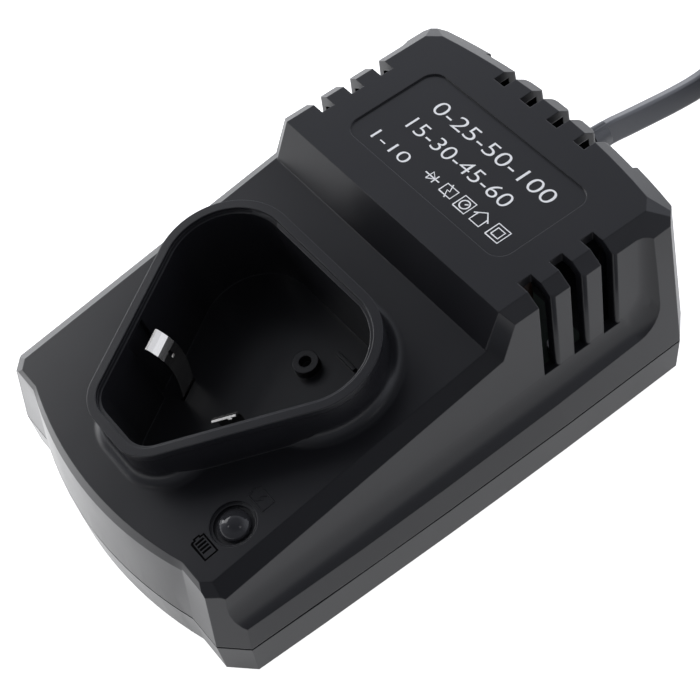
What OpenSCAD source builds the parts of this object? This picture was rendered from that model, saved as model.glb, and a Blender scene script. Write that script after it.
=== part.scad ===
// Desk charger for tool battery packs with a three-cell triangular stem.
// Origin: centre of the footprint on the table. X to the right, Y to the rear, Z up. Millimetres.

/* [Housing] */
// Overall length, from the middle of the front bow to the middle of the rear bow
body_l = 127.2; // [120:0.2:136]
// Width of the skirt at its four corners
body_w = 81.6; // [78:0.2:88]
// Height of the top face above the table
body_h = 46.85; // [45:0.05:52]
// How far each long side bows out at its middle
side_bow = 0.7; // [0.3:0.1:1.5]
// Radius of the bowed front
front_bow_r = 90; // [84:1:120]
// Radius of the bowed rear
rear_bow_r = 165; // [140:1:220]
// Height of the joint between the two shells
split_z = 9.6; // [9:0.1:11]
// Height of the four pads moulded under the floor
pad_h = 0.6; // [0.4:0.1:1.2]
// Wall thickness of both shells
wall = 2.2; // [1.8:0.1:2.6]
// Distance of the front corner facets from the middle, square to the facet
front_facet = 67.25; // [66.5:0.05:68]
// Distance of the rear corner facets from the middle, square to the facet
rear_facet = 67.5; // [67:0.1:68.5]
// How far the flat ends beside the front bow lie ahead of the middle
front_flat = 59.2; // [58.6:0.1:60]

/* [Deck and block] */
// Slope of the deck towards the front, in degrees
deck_tilt = 9.7; // [8:0.1:11]
// Distance from the middle to the foot of the block
block_foot_y = 10.4; // [9:0.1:12]
// Height of the deck at the foot of the block
deck_high_z = 38.66; // [37:0.02:40]
// Length that the face of the block leans back over
block_lean = 3.96; // [3:0.02:6]
// Half the width of the flat top, inside its chamfers
top_half_w = 33.9; // [33:0.1:34.4]
// Half the width of the flat deck, inside its chamfers
deck_half_w = 34.3; // [33:0.1:35]
// Width of the chamfers along the long edges
edge_w = 3.0; // [2.4:0.1:3.4]
// Depth of all the chamfers
edge_drop = 2.1; // [1.5:0.1:2.6]
// Width of the chamfer along the front bow
front_edge_w = 1.5; // [1:0.1:2.5]
// Width of the chamfers on the front corner facets
corner_edge_w = 2.6; // [1.5:0.1:3.5]
// Width of the chamfers on the rear corner facets
rear_corner_edge_w = 4.7; // [3:0.1:6]
// Length of the recessed label panel
label_l = 49; // [40:0.5:52]
// Depth of the label panel, front to rear
label_w = 24.2; // [18:0.2:26]
// Corner radius of the label panel
label_r = 3.5; // [2:0.1:5]
// How far the label panel is let in
label_deep = 0.35; // [0.2:0.05:0.6]

/* [Side scoops] */
// Half the width between the scooped side panels at the top
panel_half_w = 36.9; // [36.5:0.1:37.2]
// Lean of the side panels, in degrees
panel_draft = 2; // [1:0.1:3]
// Height of the ledge at the front
ledge_front_z = 14.8; // [14:0.1:16]
// Height of the ledge at the rear
ledge_rear_z = 17.6; // [16:0.1:19]
// Distance from the middle to the rear end of the scoop
scoop_rear_y = 50.4; // [48:0.1:51]
// Depth of the hollow curve at the ledge
cove_deep = 4.2; // [3.8:0.1:5]
// Height of the hollow curve at the ledge
cove_tall = 7.5; // [5:0.1:9]
// Length of the hollow curve at the rear end
cove_long = 4.6; // [3:0.1:6]
// Depth of the shallow recess in the rear wall
rear_recess = 1.2; // [0.6:0.1:1.6]
// Half the width of the recess in the rear wall
rear_recess_half_w = 22.5; // [19:0.5:26]

/* [Vents] */
// Width of each vent slot
vent_w = 3.2; // [2.4:0.1:3.6]
// Number of slots on each side
side_vents = 3; // [2:1:4]
// Distance from the middle to the first side slot
side_vent_y = 23; // [21:0.1:26]
// Spacing of the side slots
side_vent_pitch = 7.7; // [7:0.1:8.5]
// Height of the lower end of the side slots
side_vent_z = 24.5; // [22:0.5:32]
// How far in from the side the slots start on the top face
vent_top_half_w = 31; // [29:0.1:32]
// Number of slots across the rear
rear_vents = 4; // [2:1:5]
// Spacing of the rear slots
rear_vent_pitch = 8.15; // [7:0.05:9]
// Distance from the middle to where the rear slots start on the top face
rear_vent_y = 53.1; // [51:0.1:54]
// Height of the lower end of the rear slots
rear_vent_z = 26; // [23:0.5:34]
// Rounding of the rib edges
rib_round = 0.9; // [0.4:0.1:1.2]

/* [Battery socket] */
// Distance of the socket's centre ahead of the middle
socket_y = 23.6; // [22:0.1:25]
// Half the distance between the centres of the two rear lobes
lobe_rear_x = 13.1; // [12:0.1:14]
// Distance of the rear lobes behind the socket's centre
lobe_rear_v = 9.4; // [8:0.1:11]
// Inner radius of the rear lobes
lobe_rear_r = 12.6; // [12:0.1:13]
// Half the distance between the centres of the two front lobes
lobe_front_x = 4.0; // [3:0.1:6]
// Distance of the front lobes ahead of the socket's centre
lobe_front_v = 21.0; // [20:0.1:22]
// Inner radius of the front lobes
lobe_front_r = 5.9; // [5:0.1:7]
// Height of the collar above the deck
collar_h = 9.9; // [8:0.1:12]
// Thickness of the collar wall
collar_t = 2.4; // [2:0.1:2.6]
// How far the collar's lip stands out from its wall
lip_out = 0.3; // [0.2:0.1:0.8]
// Height of the collar's lip
lip_h = 1.6; // [1:0.1:2.5]
// Width and depth of the step inside the lip
rebate = 0.8; // [0.5:0.1:1]
// Radius of the curve at the collar's foot
foot_r = 2.8; // [2:0.1:3]
// Depth of the socket floor below the deck
socket_deep = 13; // [11:0.5:14]
// Thickness of the cup wall and floor below the deck
cup_t = 2.0; // [1.6:0.1:2.4]

/* [Contacts] */
// Width of the contact strip
strip_w = 4.8; // [4:0.1:5.4]
// Thickness of the contact strip
strip_t = 0.5; // [0.4:0.05:0.7]
// Distance of the contacts ahead of the socket's centre, measured on the deck
contact_v = 10.5; // [9:0.1:12]
// Distance from the wall to the strip's foot
contact_gap = 4.2; // [3.8:0.1:4.6]
// Depth of the pocket in the wall behind each strip
pocket_deep = 1.0; // [0.8:0.1:1.3]

/* [Indicator] */
// Distance of the indicator from the centre plane
led_x = 27.6; // [26.5:0.1:28]
// Distance of the indicator behind the front end
led_inset = 18.1; // [17.1:0.1:19.6]
// Diameter of the indicator's dome
led_d = 6.6; // [5:0.1:7]
// Diameter of the stepped seat
led_seat_d = 9.3; // [8.4:0.1:10]

/* [Board and fasteners] */
// Width of the circuit board
board_w = 59; // [57:0.5:60]
// Length of the circuit board
board_l = 90; // [88:1:91]
// Thickness of the circuit board
board_t = 1.6; // [1:0.1:2]
// Height of the board's underside above the floor
board_lift = 3.0; // [2.4:0.1:3.6]
// Distance from the centre plane to the front screws
front_screw_x = 20.5; // [19:0.1:22]
// Distance from the middle to the front screws
front_screw_y = 52.5; // [51.5:0.1:53.5]
// Distance from the centre plane to the rear screws
rear_screw_x = 30; // [29:0.1:30.2]
// Distance from the middle to the rear screws
rear_screw_y = 47; // [46.5:0.1:48]
// Diameter of the screws' shanks
screw_d = 2.8; // [2.4:0.1:3.2]
// Diameter of the screws' heads
screw_head_d = 5.4; // [5:0.1:5.8]

/* [Cord] */
// Distance of the cord's exit from the centre plane, to the left
cord_x = 13.5; // [10:0.5:18]
// Width of the flat cord
cord_w = 5.6; // [5:0.1:6]
// Thickness of the flat cord
cord_t = 3.4; // [3:0.1:3.8]
// Length of the strain relief outside the housing
relief_l = 20; // [20:1:30]
// Mean diameter of the coil's turns
coil_d = 62; // [56:1:66]
// Width of the coil's bundle of turns
coil_w = 15; // [12:0.5:18]
// Height of the coil's bundle of turns
coil_h = 9; // [7:0.5:12]

/* [Plug] */
// Length of the plug's body
plug_l = 38; // [34:1:42]
// Width of the plug's body at its face
plug_w = 26; // [24:0.5:28]
// Thickness of the plug's body
plug_t = 13.6; // [12:0.2:15]
// Diameter of the plug's pins
pin_d = 4; // [3.8:0.1:4.8]
// Length of the plug's pins
pin_l = 19; // [17:0.5:20]
// Distance between the plug's pins
pin_gap = 19; // [18:0.2:19]

/* [Hidden] */

$fn = 64;
// Facets of the very large circles behind the bowed walls
bow_fn = 720;
// Longer than any cut needs to be
far = 200;
// Small overlap that joins touching solids
lap = 0.5;
// Straight walls stand back by this much from the rounds they run into
ease = 0.01;

// Slopes of the walls, in mm per mm of height
front_lean = 0.098;
corner_lean = 0.12;
side_lean = 0.08;
rear_lean = 0.08;
tray_lean = 0.06;

front_y = -body_l / 2;
rear_y = body_l / 2;
shell_h = body_h - split_z;
tray_h = split_z - pad_h;

// Radius of the circle behind each bowed side, from its rise over the straight length
side_chord = 109;
side_bow_r = (side_chord * side_chord / 4 + side_bow * side_bow) / (2 * side_bow);

edge_angle = atan(edge_drop / edge_w);
// The chamfer on the flat front ends is this much narrower than the bow's
edge_ease = 0.2;
block_angle = atan((body_h - deck_high_z) / block_lean);

led_y = body_l / 2 - led_inset;
function deck_z(y) = deck_high_z + (y - block_foot_y) * tan(deck_tilt);

// Label panel: its middle, behind the centre of the housing
label_y = 34.1;

// Socket: line of the right-hand wall, as direction and distance from the centre
lobe_gap = norm([lobe_rear_x - lobe_front_x, lobe_rear_v + lobe_front_v]);
wall_turn = atan((lobe_rear_x - lobe_front_x) / (lobe_rear_v + lobe_front_v))
    + asin((lobe_rear_r - lobe_front_r) / lobe_gap);
wall_n = [cos(wall_turn), -sin(wall_turn)];
wall_reach = lobe_front_x * wall_n[0] - lobe_front_v * wall_n[1] + lobe_front_r;
socket_top = 60;
floor_boss = [5.5, 2.2];
floor_boss_bore = 2.6;
floor_boss_at = [2.6, 10.4];
floor_rib = [5.6, 0.8, 0.7];
floor_rib_at = [7.8, 16.6];
cup_under = socket_deep + cup_t;

// Contacts: where the strip's foot meets the wall's line, and its bends as [gap, height]
foot_v = -contact_v - contact_gap * sin(wall_turn);
foot_x = (wall_reach - foot_v * wall_n[1]) / wall_n[0];
strip_root = 0.1;
leaf_bends = [[4.6, -11.5], [5.2, -9], [5.9, -6], [6.35, -3], [6.5, -0.5], [6.35, 1.6], [5.9, 3.2],
    [5.1, 4.7], [4.2, 5.9], [3.4, 6.7]];
tip_slot = [0.8, 1.8];
tip_slot_h = 2.4;
pocket_w = strip_w + 1.2;
pocket_top = 8.2;
slot_clear = 0.2;

// Indicator: steps of its seat and its stem
seat_steps = [[led_seat_d, 0.5], [led_seat_d - 1.2, 1.1]];
led_hole_d = 5.2;
led_stem_d = 5;
led_flange_t = 0.6;
led_rise = 1.5;
led_stem_l = 4.5;
led_pin = 0.5;
led_pitch = 2.54;
spacer_d = 6.4;
spacer_hole_d = 4;
spacer_gap = 1;
spacer_top = deck_z(-led_y) - led_stem_l - spacer_gap;

// Board on its standoffs
floor_z = pad_h + wall;
board_z = floor_z + board_lift;
board_top = board_z + board_t;
board_ahead = 3;
board_y = -board_l / 2 - board_ahead;
standoff_d = 6;
standoff_x = 24;
standoff_front_y = -37;
standoff_rear_y = 36;
board_screw_d = 2.2;
board_screw_l = 5.4;
board_head_d = 4.4;
board_head_h = 1.5;
bore_clear = 0.2;

// Housing screws, their tubes and their pillars
tube_d = 7;
head_h = 1.8;
head_top_z = 3.9;
head_recess = 1;
screw_clear = 0.6;
screw_top_z = 18;
pilot_top_z = 20;
pilot_clear = 0.1;
driver_w = 0.9;
driver_l = 3;

// The seam groove between the shells
seam_h = 0.2;
seam_deep = 0.5;
// The tray's tongue inside the cover
tongue_h = 2;
tongue_t = 1;
clear = 0.15;
// Strain relief: a flange inside the wall, a neck through it and a ringed taper outside
relief_neck_d = 8.4;
relief_flange_d = 11;
relief_flange_t = 2;
relief_in_y = 57.8;
relief_out_y = 63.45;
relief_root_d = 9.6;
relief_tip_d = 6.8;
relief_end_y = rear_y + relief_l;
relief_grooves = 4;
groove_w = 1.4;
groove_deep = 0.7;
groove_pitch = 3.6;
fit_clear = 0.1;
// Pads under the tray
pad_d = 9;
pad_x = 30;
pad_front_y = -46;
pad_rear_y = 34;

// Parts on the board: [width, length, height] or [diameter, height], and where they stand
core_size = [25, 12, 22];
core_at = [3, 14];
core_leg = 7;
core_window = [6, 13];
bobbin_wall = 0.8;
bobbin_reach = 5;
bobbin_clear = 0.15;
bobbin_skin = bobbin_clear + bobbin_wall;
window_z = (core_size[2] - core_window[1]) / 2;
winding_reach = 4;
winding_r = 2;
input_cap = [12.5, 20];
input_cap_at = [-19, 22];
output_cap = [8, 10];
output_cap_at = [[-20, -4], [-20, -14]];
cap_rim = 0.6;
film_cap = [13, 5.5, 11];
film_cap_at = [-18, 7.5];
disc_cap = [8, 3];
disc_cap_at = [18, 31];
disc_lift = 1;
fuse_size = [8.4, 7.6];
fuse_at = [-14, 37];
choke_size = [14, 7];
choke_bore = 6;
choke_at = [8, 34];
diode_size = [2.7, 5.2];
diode_at = [-6, 23.6];
diode_pitch = 3;
resistor_size = [2.4, 6.4];
resistor_at = [0, -28];
resistor_pitch = 3.2;
resistor_count = 6;
rectifier_size = [5, 9];
rectifier_at = [14, -6];
lead_d = 0.7;
lead_reach = 2;
lead_lift = 0.6;
heatsink_size = [2, 20, 20];
heatsink_at = [26.5, 17];
transistor_size = [4.5, 10, 15];
chip_size = [9.6, 6.4, 3.3];
chip_at = [0, -14];
opto_size = [4.8, 6.4, 3.3];
opto_at = [-8, 0];
chip_pitch = 2.54;
chip_lift = 0.5;
chip_leg = [0.5, 0.9, 2.4];
wire_d = 1.8;
wire_gap = 1.5;
wire_sides = 8;
straight = 1;
wire_points = [[-cord_x, relief_in_y, split_z], [-cord_x, relief_in_y - straight, split_z],
    [-13.2, 54, 10.2], [-10.4, 50, 12.4], [-6, 43, 12], [-4, 40, 10.8], [-4, 39, 7.7]];

plug_x = 71;
plug_y = 100;
plug_z = plug_t / 2;

// Cord: hand-laid points of its middle, from the strain relief into the coil
cord_out = [[-cord_x, relief_end_y, split_z], [-cord_x, relief_end_y + straight, split_z],
    [-13.6, 90, 8.3], [-13.8, 98, 6.6], [-14.2, 106, 4.8], [-14.8, 114, 3.4], [-15.6, 122, 3.2],
    [-17, 130, 3.4]];
// and from the coil to the plug
cord_in = [[32, 181.4, 7.2], [40, 181, 5.2], [48, 180.3, 3.5], [58, 177.2, 2.2], [65, 171.6, 1.9],
    [69.6, 163.6, 2.2], [plug_x, 154, 3.6], [plug_x, 146, 5.6],
    [plug_x, plug_y + plug_l + straight, plug_z], [plug_x, plug_y + plug_l, plug_z]];
cord_sides = 12;
coil_at = [14, 150];
coil_r = 3;
tie_t = 0.6;
tie_w = 6;
plug_shoulder = [14, 30];
plug_neck_w = [13, 10];

// ---------- frames that pieces are drawn in ----------

// Deck frame: the socket's centre on the deck, Z square to the deck
module on_deck() {
    translate([0, -socket_y, deck_z(-socket_y)])
        rotate([deck_tilt, 0, 0])
            children();
}

// Right-hand contact frame: on the socket wall, X out through the wall, Y along it
module on_wall() {
    on_deck()
        translate([foot_x, foot_v, 0])
            rotate([0, 0, -wall_turn])
                children();
}

// Indicator frame: on the deck, Z square to it
module on_led() {
    translate([led_x, -led_y, deck_z(-led_y)])
        rotate([deck_tilt, 0, 0])
            children();
}

// Copies at the four housing screws
module at_screws() {
    both_sides() {
        translate([front_screw_x, -front_screw_y, 0])
            children();
        translate([rear_screw_x, rear_screw_y, 0])
            children();
    }
}

// Copies at the four board screws
module at_standoffs() {
    both_sides()
        for (y = [standoff_front_y, standoff_rear_y])
            translate([standoff_x, y, 0])
                children();
}

module both_sides() {
    children();
    mirror([1, 0, 0])
        children();
}

// ---------- housing envelope ----------

// Everything beyond a flat wall: it faces "heading" degrees from +X, stands "reach" away at z = 0
// and leans in by "lean" mm per mm of height. t moves it inwards, square to its face.
module beyond(heading, reach, lean, t = 0) {
    rotate([0, 0, heading])
        translate([reach - t * sqrt(1 + lean * lean), 0, 0])
            rotate([0, -atan(lean), 0])
                translate([0, -far / 2, -far])
                    cube([far, far, 2 * far]);
}

// Inside of a bowed wall, from z = 0 up: a cone of radius r that touches "reach" at z = 0
module bowed(heading, reach, r, lean, h, t = 0) {
    inner_r = r - t * sqrt(1 + lean * lean);
    rotate([0, 0, heading])
        translate([reach - r, 0, 0])
            cylinder(h = h, r1 = inner_r, r2 = inner_r - h * lean, $fn = bow_fn);
}

// Outside of a chamfer whose edge lies at z = 0: a flat one where the bow stands behind it
module beyond_edge(heading, reach, r, lean, flat, t) {
    low = 5;
    high = 12;
    bow_r = r - t * sqrt(1 + lean * lean);
    rotate([0, 0, heading])
        difference() {
            translate([reach - 25, -60, -low])
                cube([50, 120, low + high]);
            translate([reach - r, 0, -low])
                cylinder(h = low + high, r1 = bow_r + low * lean, r2 = bow_r - high * lean,
                    $fn = bow_fn);
            if (flat > 0)
                difference() {
                    translate([reach - 25, -60, -low])
                        cube([25, 120, low + high]);
                    beyond(0, reach - flat, lean, t);
                }
        }
}

// Walls of the housing from z = 0 up, inset by t: front, corner, side and rear lean in.
// The front bow stands ahead of a flat end on each side.
module plan_body(t, h, front, corner, side, rear) {
    difference() {
        intersection() {
            translate([-far / 2, -far / 2, 0])
                cube([far, far, h]);
            bowed(90, rear_y, rear_bow_r, rear, h, t);
            bowed(0, body_w / 2 + side_bow, side_bow_r, side, h, t);
            bowed(180, body_w / 2 + side_bow, side_bow_r, side, h, t);
        }
        difference() {
            beyond(-90, front_flat, front, t);
            bowed(-90, -front_y, front_bow_r, front, h, t);
        }
        both_sides() {
            beyond(-45, front_facet, corner, t);
            beyond(45, rear_facet, side, t);
        }
    }
}

// Half section of a roof surface with chamfered long edges, inset by t
function roof_edge(half, t) = half - t * tan(edge_angle / 2);

// Roof surface through the line (y, z), rising at "slope" degrees towards the rear
module roof(t, y, z, slope, half = top_half_w) {
    translate([0, y, z])
        rotate([slope, 0, 0])
            translate([0, far, 0])
                rotate([90, 0, 0])
                    linear_extrude(2 * far)
                        polygon([
                            [-roof_edge(half, t), -t],
                            [roof_edge(half, t), -t],
                            [roof_edge(half, t) + far, -t - far * tan(edge_angle)],
                            [-roof_edge(half, t) - far, -t - far * tan(edge_angle)]
                        ]);
}

// Chamfers along the front of the deck: bow, flat ends and corner facets
module front_chamfers(t) {
    corner = corner_edge_w / edge_drop;
    bow_y = front_y + front_lean * (deck_z(front_y) - edge_drop - split_z);
    flat = -front_y - front_flat - edge_ease;
    facet = front_facet - corner_lean * (deck_z(bow_y) - edge_drop - split_z);
    translate([0, bow_y, deck_z(bow_y) - edge_drop])
        rotate([deck_tilt, 0, 0]) {
            beyond_edge(-90, 0, front_bow_r, front_edge_w / edge_drop, flat, t);
            both_sides()
                beyond(-45, facet + bow_y * sqrt(0.5), corner, t);
        }
}

// Chamfers along the rear of the block: bow and corner facets
module rear_chamfers() {
    edge_z = body_h - edge_drop;
    reach = rear_y - rear_lean * (edge_z - split_z) - rear_recess;
    facet = rear_facet - side_lean * (edge_z - split_z);
    translate([0, 0, edge_z]) {
        beyond_edge(90, reach, rear_bow_r, edge_w / edge_drop, 0, 0);
        both_sides()
            beyond(45, facet, rear_corner_edge_w / edge_drop);
    }
}

// Sloping deck and raised block with chamfered long edges, inset by t
module roofs(t) {
    intersection() {
        roof(t, 0, body_h, 0);
        union() {
            roof(t, -socket_y, deck_z(-socket_y), deck_tilt, deck_half_w);
            roof(t, block_foot_y + block_lean, body_h, block_angle);
        }
    }
}

// Outline of a side scoop seen from the side: its lower rear corner is round.
// up and back move the ledge and the rear end; the front runs out past the body.
scoop_r = 6;
scoop_front_y = -80;
function ledge_z(y) = ledge_front_z + (ledge_rear_z - ledge_front_z) * (y - front_y) / (scoop_rear_y - front_y);
function scoop_outline(back, up) = [
    [scoop_front_y, far],
    [scoop_front_y, ledge_z(scoop_front_y) + up],
    for (a = [-90:15:0])
        [scoop_rear_y - back - scoop_r + scoop_r * cos(a), ledge_z(scoop_rear_y) + up + scoop_r + scoop_r * sin(a)],
    [scoop_rear_y - back, far]
];

// Space outside a side panel, down to its ledge, with hollow curves below and behind.
// t moves it inwards, for the cavity.
module side_scoop(t) {
    slice = 0.01;
    out = 12;
    translate([panel_half_w - t, 0, body_h - edge_drop])
        rotate([0, -panel_draft, 0])
            translate([0, 0, edge_drop - body_h])
                hull() {
                    for (a = [0:18:90])
                        translate([cove_deep * (1 - cos(a)), 0, 0])
                            rotate([90, 0, 90])
                                linear_extrude(slice)
                                    polygon(scoop_outline(
                                        cove_long * (1 - sin(a)) - t,
                                        cove_tall * (1 - sin(a)) - t
                                    ));
                    translate([cove_deep + out + t, 0, 0])
                        rotate([90, 0, 90])
                            linear_extrude(slice)
                                polygon(scoop_outline(-t, -t));
                }
}

// Shallow recess in the middle of the rear wall
module rear_scoop(t) {
    translate([0, 0, split_z])
        difference() {
            translate([-rear_recess_half_w + t, 0, ledge_rear_z - split_z - t])
                cube([2 * (rear_recess_half_w - t), far, far]);
            bowed(90, rear_y - rear_recess, rear_bow_r, rear_lean, shell_h, t);
        }
}

// Form of the cover, inset by t
module cover_form(t) {
    difference() {
        intersection() {
            translate([0, 0, split_z])
                plan_body(t, shell_h, front_lean, corner_lean, side_lean, rear_lean);
            roofs(t);
        }
        front_chamfers(t);
        if (t == 0)
            rear_chamfers();
        both_sides()
            side_scoop(t);
        rear_scoop(t);
    }
}

// Outside form of the tray down to a depth h under the joint, inset by t
module tray_form(t, h) {
    translate([0, 0, split_z])
        mirror([0, 0, 1])
            plan_body(t, h, tray_lean, tray_lean, tray_lean, tray_lean);
}

// Hole for the strain relief, half in each shell
module cord_hole() {
    translate([-cord_x, rear_y - 3 * wall, split_z])
        rotate([-90, 0, 0])
            cylinder(d = relief_neck_d, h = far);
}

// ---------- vents ----------

// Slot outline seen along a wall: origin on the outer face, +Y outwards, soft edges where asked
module slot_outline(w, deep, soft_low, soft_high) {
    translate([-w / 2, -deep])
        square([w, deep + rib_round]);
    for (side = [-1, 1])
        if (side < 0 ? soft_low : soft_high)
            difference() {
                translate([side < 0 ? -w / 2 - rib_round : w / 2 - lap, -rib_round])
                    square([rib_round + lap, 2 * rib_round]);
                translate([side * (w / 2 + rib_round), -rib_round])
                    circle(r = rib_round);
            }
}

// Three slots through each side panel, open at the top, with soft rear edges
module side_slots() {
    for (i = [0:side_vents - 1])
        translate([0, side_vent_y + i * side_vent_pitch, 0]) {
            translate([vent_top_half_w, -vent_w / 2, side_vent_z])
                cube([far, vent_w, far]);
            translate([panel_half_w, 0, body_h - edge_drop])
                rotate([0, -panel_draft, 0])
                    translate([0, 0, side_vent_z + edge_drop - body_h])
                        linear_extrude(far)
                            rotate([0, 0, -90])
                                slot_outline(vent_w, lap, true, false);
        }
}

// Slots across the recess in the rear wall, between ribs with round noses
module rear_slots() {
    nose_y = rear_y - rear_recess - rear_lean * (body_h - split_z);
    for (i = [0:rear_vents - 1]) {
        x = (i - (rear_vents - 1) / 2) * rear_vent_pitch;
        sag = x * x / (2 * rear_bow_r);
        translate([x - vent_w / 2, rear_vent_y, rear_vent_z])
            cube([vent_w, far, far]);
        translate([x, nose_y - sag, body_h])
            rotate([atan(rear_lean), 0, 0])
                translate([0, 0, rear_vent_z - body_h])
                    linear_extrude(far)
                        slot_outline(vent_w, lap, true, true);
    }
}

// ---------- battery socket ----------

// Rounded-triangle outline of the socket, grown by g
module socket_outline(g) {
    both_sides() {
        translate([lobe_rear_x, lobe_rear_v])
            circle(r = lobe_rear_r + g);
        translate([lobe_front_x, -lobe_front_v])
            circle(r = lobe_front_r + g);
        polygon([
            [-lap, -lobe_front_v - lobe_front_r - g + ease],
            [lobe_front_x, -lobe_front_v - lobe_front_r - g + ease],
            [lobe_front_x, -lobe_front_v] + wall_n * (lobe_front_r + g - ease),
            [lobe_rear_x, lobe_rear_v] + wall_n * (lobe_rear_r + g - ease),
            [lobe_rear_x, lobe_rear_v + lobe_rear_r + g - ease],
            [-lap, lobe_rear_v + lobe_rear_r + g - ease]
        ]);
    }
}

module socket_block(g, low, high) {
    translate([0, 0, low])
        linear_extrude(high - low)
            socket_outline(g);
}

// Section of the hollow curve at the collar's foot: the wall stands at x = r
module foot_section(r) {
    difference() {
        translate([r - lap, -lap])
            square([foot_r + lap, foot_r + lap]);
        translate([r + foot_r, foot_r])
            circle(r = foot_r);
    }
}

// Hollow curve all round the collar's foot
module collar_foot() {
    both_sides() {
        translate([lobe_rear_x, lobe_rear_v, 0])
            rotate_extrude()
                foot_section(lobe_rear_r + collar_t);
        translate([lobe_front_x, -lobe_front_v, 0])
            rotate_extrude()
                foot_section(lobe_front_r + collar_t);
        translate([0, lobe_rear_v, 0])
            rotate([90, 0, 90])
                linear_extrude(lobe_rear_x)
                    foot_section(lobe_rear_r + collar_t);
        mirror([0, 1, 0])
            translate([0, lobe_front_v, 0])
                rotate([90, 0, 90])
                    linear_extrude(lobe_front_x)
                        foot_section(lobe_front_r + collar_t);
        translate([lobe_front_x, -lobe_front_v, 0])
            rotate([90, 0, 180 - wall_turn])
                mirror([1, 0, 0])
                    linear_extrude(lobe_gap * cos(asin((lobe_rear_r - lobe_front_r) / lobe_gap)))
                        foot_section(lobe_front_r + collar_t);
    }
}

// Everything the socket adds to the cover: collar, lip, foot curve and cup
module socket_solid() {
    socket_block(collar_t, -wall, collar_h);
    socket_block(collar_t + lip_out, collar_h - lip_h, collar_h);
    socket_block(cup_t, -cup_under, 0);
    collar_foot();
}

// Small features on the socket floor: a hollow boss and a short rib
module socket_floor_parts() {
    translate([floor_boss_at[0], floor_boss_at[1], -socket_deep - lap])
        difference() {
            cylinder(d = floor_boss[0], h = floor_boss[1] + lap);
            cylinder(d = floor_boss_bore, h = far);
        }
    translate([floor_rib_at[0] - floor_rib[0] / 2, floor_rib_at[1] - floor_rib[1] / 2, -socket_deep - lap])
        cube([floor_rib[0], floor_rib[1], floor_rib[2] + lap]);
}

// Everything it takes away: the bore and the step inside the lip
module socket_space() {
    socket_block(0, -socket_deep, socket_top);
    socket_block(rebate, collar_h - rebate, socket_top);
}

module contact_space() {
    on_wall() {
        translate([-lap, -pocket_w / 2, -socket_deep])
            cube([pocket_deep + lap, pocket_w, socket_deep + pocket_top]);
        translate([-contact_gap - slot_clear, -strip_w / 2 - slot_clear, -cup_under - lap])
            cube([strip_t + 2 * slot_clear, strip_w + 2 * slot_clear, cup_t + 2 * lap]);
    }
}

// ---------- housing ----------

// Cover over the whole charger
module upper_shell() {
    color("dimgray")
        difference() {
            union() {
                difference() {
                    cover_form(0);
                    cover_form(wall);
                    translate([0, 0, split_z])
                        plan_body(wall - tongue_t - clear, tongue_h + clear, front_lean,
                            corner_lean, side_lean, rear_lean);
                    difference() {
                        translate([-far / 2, -far / 2, split_z - lap])
                            cube([far, far, lap + seam_h]);
                        translate([0, 0, split_z - lap])
                            plan_body(seam_deep, 2 * lap, front_lean, corner_lean, side_lean,
                                rear_lean);
                    }
                }
                on_deck()
                    socket_solid();
                both_sides() {
                    translate([front_screw_x, -front_screw_y, split_z])
                        cylinder(d = tube_d, h = deck_z(-front_screw_y) - wall / 2 - split_z);
                    translate([rear_screw_x, rear_screw_y, split_z])
                        cylinder(d = tube_d, h = body_h - wall / 2 - split_z);
                }
            }
            on_deck()
                difference() {
                    socket_space();
                    socket_floor_parts();
                }
            both_sides() {
                contact_space();
                side_slots();
            }
            rear_slots();
            at_screws()
                translate([0, 0, split_z - lap])
                    cylinder(d = screw_d + pilot_clear, h = pilot_top_z - split_z + lap);
            on_led() {
                for (step = seat_steps)
                    translate([0, 0, -step[1]])
                        cylinder(d = step[0], h = far);
                translate([0, 0, -wall - lap])
                    cylinder(d = led_hole_d, h = far);
            }
            translate([0, label_y, body_h - label_deep])
                label_plate();
            cord_hole();
        }
}

// Rounded plate as large as the label panel
module label_plate() {
    flat_l = label_l - 2 * label_r;
    flat_w = label_w - 2 * label_r;
    translate([-label_l / 2, -flat_w / 2, 0])
        cube([label_l, flat_w, lap]);
    translate([-flat_l / 2, -label_w / 2, 0])
        cube([flat_l, label_w, lap]);
    for (x = [-flat_l / 2, flat_l / 2])
        for (y = [-flat_w / 2, flat_w / 2])
            translate([x, y, 0])
                cylinder(r = label_r, h = lap);
}

// Tray under the charger
module lower_shell() {
    color("dimgray")
        difference() {
            union() {
                difference() {
                    tray_form(0, tray_h);
                    tray_form(wall, split_z - floor_z);
                    difference() {
                        translate([-far / 2, -far / 2, split_z - seam_h])
                            cube([far, far, lap]);
                        translate([0, 0, split_z])
                            mirror([0, 0, 1])
                                plan_body(seam_deep, 2 * lap, tray_lean, tray_lean, tray_lean,
                                    tray_lean);
                    }
                }
                difference() {
                    translate([0, 0, split_z - lap])
                        plan_body(wall - tongue_t, tongue_h + lap, front_lean, corner_lean,
                            side_lean, rear_lean);
                    translate([0, 0, floor_z])
                        plan_body(wall, split_z, front_lean, corner_lean, side_lean, rear_lean);
                }
                at_screws()
                    translate([0, 0, pad_h])
                        cylinder(d = tube_d, h = split_z - pad_h);
                at_standoffs()
                    translate([0, 0, pad_h])
                        cylinder(d = standoff_d, h = board_z - pad_h);
                both_sides()
                    for (y = [pad_front_y, pad_rear_y])
                        translate([pad_x, y, 0])
                            cylinder(d = pad_d, h = floor_z);
            }
            at_screws() {
                translate([0, 0, -lap])
                    cylinder(d = screw_d + screw_clear, h = split_z + 2 * lap);
                translate([0, 0, -lap])
                    cylinder(d = screw_head_d + screw_clear, h = head_top_z + lap);
            }
            at_standoffs()
                translate([0, 0, board_z - board_screw_l + board_t])
                    cylinder(d = board_screw_d + pilot_clear, h = board_screw_l);
            cord_hole();
        }
}

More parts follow.
